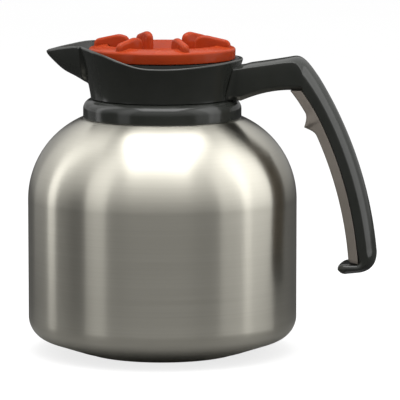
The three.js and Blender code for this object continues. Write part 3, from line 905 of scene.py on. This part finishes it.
def stopper_body():
    low, high = span("stopper_body")
    wall, bore, tube = 34.0, 31.8, 8.4
    profile = [
        (tube, low[2]),
        (wall, low[2], 1.2),
        (wall, 154.2, 0.2),
        (wall - 1, 154.2, 0.2),
        (wall - 1, 158, 0.2),
        (wall, 158, 0.2),
        (wall, COLLAR_FLOOR + 0.5, 0.2),
        (38.4, COLLAR_FLOOR + 0.5, 0.5),
        (38.4, 160.7, 0.5),
        (wall, 161.4, 0.5),
        (wall, 171, 1.5),
        (high[0], 172.6, 1.0),
        (high[0], high[2], 0.5),
        (high[0] - 1.8, high[2], 0.5),
        (high[0] - 1.8, 174.6, 0.8),
        (bore, 172.9, 0.5),
        (bore, 157, 0.2),
        (30.5, 157, 0.2),
        (30.5, 155.3, 0.2),
        (bore, 155.3, 0.2),
        (bore, 153, 0.6),
        (tube, 153),
    ]
    made = lathe("stopper_smooth", rounded(profile))
    key_slot = block((KEY_R - 1, 46), (-KEY_HALF - 0.2, KEY_HALF + 0.2), (170, KEY_TOP + 0.2), 0.5)
    tools = [*ports((-42, -24), (24, 37)), key_slot]
    return dress(combine(made, tools, "DIFFERENCE"), "stopper_body")


def valve_sleeve():
    low, high = span("valve_sleeve")
    wall, inner, tube = high[0], 28.6, 8.8
    profile = [
        (tube, 173),
        (inner, 173, 0.6),
        (inner, low[2], 0.3),
        (wall, low[2], 0.5),
        (wall, 155, 0.2),
        (30.2, 155, 0.2),
        (30.2, 157.3, 0.2),
        (wall, 157.3, 0.2),
        (wall, high[2], 0.6),
        (tube, high[2]),
    ]
    made = lathe("sleeve_smooth", rounded(profile))
    return dress(combine(made, ports((-36, -20), (20, 36)), "DIFFERENCE"), "valve_sleeve")


def float_cage():
    low, high = span("float_cage")
    profile = [
        (4.5, low[2]),
        (12.2, low[2], 1.0),
        (12.2, 149.3, 0.5),
        (high[0], 149.3, 0.4),
        (high[0], high[2], 0.3),
        (10.4, high[2], 0.3),
        (10.4, 135.5, 0.5),
        (4.5, 135.5),
    ]
    made = lathe("cage_smooth", rounded(profile), 96)
    windows = [block((-16, 16), (-4.5, 4.5), (137.5, 145.5), 1.5) for _ in range(2)]
    windows[1].rotation_euler = (0, 0, math.pi / 2)
    bpy.context.view_layer.update()
    return dress(combine(made, windows, "DIFFERENCE"), "float_cage")


stopper_body()
valve_sleeve()
float_cage()
refined("lid_seal", 0.6)
refined("drip_tube", 0.3, SMALL_ROUND)
refined("float_valve", 0.8, SMALL_ROUND)
for number in (1, 2, 3):
    refined(f"sleeve_screw_{number}", 0.25, 32)


# ---- lid cap ------------------------------------------------------------------------------
FIN_COUNT = 6
FIN_HALF = 2.2
FIN_EDGE = 1.9  # size of the round edges


def fin_outline():
    """A fin from the side: steep ends, and a top that falls outwards."""
    outline = rounded([
        (19.4, 180.2, 0.1),
        (20.6, 193.4, 3.8),
        (26.4, 195.0, 9.0),
        (42.1, 191.6, 3.8),
        (42.5, 185.6, 0.1),
        (33.6, 186.9, 0.1),
        (29.6, 182.2, 0.1),
    ])
    return resample(np.concatenate([outline, outline[:1]]), 96)[:-1]


def fin(number):
    angle = 2 * math.pi * number / FIN_COUNT
    cosine, sine = math.cos(angle), math.sin(angle)

    def place(line, depth):
        out, height = line.T
        return np.stack([out * cosine - depth * sine, out * sine + depth * cosine, height], -1)

    return slab("tool", fin_outline(), FIN_HALF, FIN_EDGE, place)


def lid_cap():
    low, high = span("lid_cap")
    skirt, edge, bore = span("stopper_body")[1][2] + 0.4, high[0], 6.5
    profile = [
        (42.7, skirt, 0.2),
        (edge - 0.2, skirt, 0.4),
        (edge, 186.9, 1.5),
        (33.6, 188.9, 1.1),
        (29.8, 183.6, 2.0),
        (9, 178.6, 2.0),
        (bore, 178.2, 0.6),
        (bore, 174.9, 0.2),
        (7.9, 174.9, 0.2),
        (8.6, 176.6, 0.6),
        (29.8, 181.6, 0.8),
        (32.4, 186.2, 0.8),
        (41.8, 184.8, 0.6),
        (42.7, 184, 0.4),
    ]
    made = lathe("lid_cap_smooth", rounded(profile), FINE_ROUND)
    return dress(combine(made, [fin(number) for number in range(FIN_COUNT)], "UNION"), "lid_cap")


lid_cap()


# ---- CAD nodes that stay ------------------------------------------------------------------
for node in frame["nodes"].values():
    if not node.hide_render:
        node.material_slots[0].material = finishes[node.data.materials[0].name]


# ---- studio -------------------------------------------------------------------------------
VIEW_AZIMUTH = 9.0
VIEW_ELEVATION = 7.564
VIEW_DISTANCE = 2.2193  # metres
VIEW_LENS = 325.04  # millimetres, on a sensor 36 mm wide
TARGET = Vector((0.02281, 0.00361, 0.09288))
SIDE_LIGHTS_UP = 18  # degrees
SIDE_LIGHTS_AWAY = 0.6


def direction(azimuth, elevation):
    """Unit vector from the object. Azimuth 0 is the camera's side and 90 is to its right."""
    a, e = math.radians(azimuth + VIEW_AZIMUTH), math.radians(elevation)
    return Vector((math.sin(a) * math.cos(e), -math.cos(a) * math.cos(e), math.sin(e)))


def aim(placed, azimuth, elevation, distance):
    away = direction(azimuth, elevation)
    placed.location = TARGET + away * distance
    placed.rotation_euler = (-away).to_track_quat("-Z", "Y").to_euler()
    bpy.context.scene.collection.objects.link(placed)


def softbox(name, azimuth, elevation, distance, width, height, radiance):
    light = bpy.data.lights.new(name, "AREA")
    light.shape = "RECTANGLE"
    light.size, light.size_y = width, height
    light.energy = radiance * math.pi * width * height
    placed = bpy.data.objects.new(name, light)
    placed.visible_camera = False
    aim(placed, azimuth, elevation, distance)


camera_data = bpy.data.cameras.new("camera")
camera_data.lens = VIEW_LENS
camera_data.sensor_width = 36.0
camera = bpy.data.objects.new("camera", camera_data)
aim(camera, 0, VIEW_ELEVATION, VIEW_DISTANCE)
bpy.context.scene.camera = camera

softbox("overhead", -6, 82, 1.2, 0.98, 1.25, 3.3)
for name, azimuth, width, radiance in (
    ("right_strip", 87, 0.40, 1.05),
    ("right_fill", 62, 0.34, 0.54),
    ("left_strip", -56, 0.20, 0.64),
    ("left_back", -102, 0.11, 1.2),
    ("left_back_fill", -118, 0.34, 0.22),
):
    softbox(name, azimuth, SIDE_LIGHTS_UP, SIDE_LIGHTS_AWAY, width, 1.0, radiance)

# A light tent round the object: grey at its foot and bright towards the top, with a dark gap at the
# left and a dark backdrop low behind the object.
TENT_FOOT, TENT_TOP = 0.37, 0.82
TENT_RISE = 0.18, 0.50  # sines of the elevations between which it brightens
DARK_LEVEL = 0.05
DARK_PARTS = [
    # towards, full tent outside this cosine, dark inside this one
    (direction(-75, 0), 0.955, 0.995),
    (direction(180, 10), 0.972, 0.988),
]

world = bpy.data.worlds.new("studio")
world.use_nodes = True
bpy.context.scene.world = world
nodes = world.node_tree
seen = add(nodes, "LightPath").outputs["Is Camera Ray"]
looking = add(nodes, "TexCoord").outputs["Generated"]
height = add(nodes, "SeparateXYZ", {"Vector": looking}).outputs["Z"]
level = spread(nodes, height, TENT_FOOT, TENT_TOP, *TENT_RISE)
for way, outside, inside in DARK_PARTS:
    toward = add(nodes, "VectorMath", {0: looking, 1: way}, operation="DOT_PRODUCT")
    gap = spread(nodes, toward.outputs["Value"], 1.0, DARK_LEVEL, outside, inside)
    level = math_node(nodes, "MULTIPLY", level, gap)
strength = math_node(nodes, "MAXIMUM", level, seen)
nodes.links.new(strength, nodes.nodes["Background"].inputs["Strength"])
nodes.nodes["Background"].inputs["Color"].default_value = (1, 1, 1, 1)

FLOOR_NEAR, FLOOR_FAR = 0.21, 0.04  # how much light the floor throws back to the object: lifted near the middle, painted light over the shadow the object casts there, and darker far out
FLOOR_FADE = 0.09, 0.17  # metres from the middle, between which that changes
FLOOR_SHOWN, FLOOR_GLOW = 0.26, 0.78  # how the floor looks itself
FLOOR_R = 6000.0
FLOOR_Z = -0.2
FLOOR_FACETS = 96


def floor():
    material, tree, principled = shader("floor_pale", {"Roughness": 0.9, "Specular IOR Level": 0.1})
    place = add(tree, "TexCoord").outputs["Object"]
    seen = add(tree, "LightPath").outputs["Is Camera Ray"]
    tint = spread(tree, noise(tree, place, 3.0), 0.97, 1.0)
    away = add(tree, "VectorMath", {0: place}, operation="LENGTH").outputs["Value"]
    # painted light: for rays other than the camera's the floor is brighter near the middle, to
    # offset the object's own shadow on it
    painted_bounce = spread(tree, away, FLOOR_NEAR, FLOOR_FAR, *FLOOR_FADE)
    hidden = math_node(tree, "MULTIPLY", painted_bounce, spread(tree, seen, 1, 0, 0, 1))
    shade = math_node(tree, "ADD", hidden, spread(tree, seen, 0, FLOOR_SHOWN, 0, 1))
    value = math_node(tree, "MULTIPLY", tint, shade)
    colour = add(tree, "CombineColor", {"Red": value, "Green": value, "Blue": value})
    tree.links.new(colour.outputs["Color"], principled.inputs["Base Color"])
    principled.inputs["Emission Color"].default_value = (1, 1, 1, 1)
    glow = spread(tree, seen, 0.0, FLOOR_GLOW, 0, 1)
    tree.links.new(glow, principled.inputs["Emission Strength"])
    angle = np.linspace(0, 2 * math.pi, FLOOR_FACETS, endpoint=False)
    level = np.full(FLOOR_FACETS, FLOOR_Z)
    edge = np.stack([FLOOR_R * np.cos(angle), FLOOR_R * np.sin(angle), level], -1)
    made = mesh_object("floor", edge, [list(range(FLOOR_FACETS))])
    made.data.materials.append(material)


floor()
bpy.context.scene.view_settings.view_transform = "Standard"
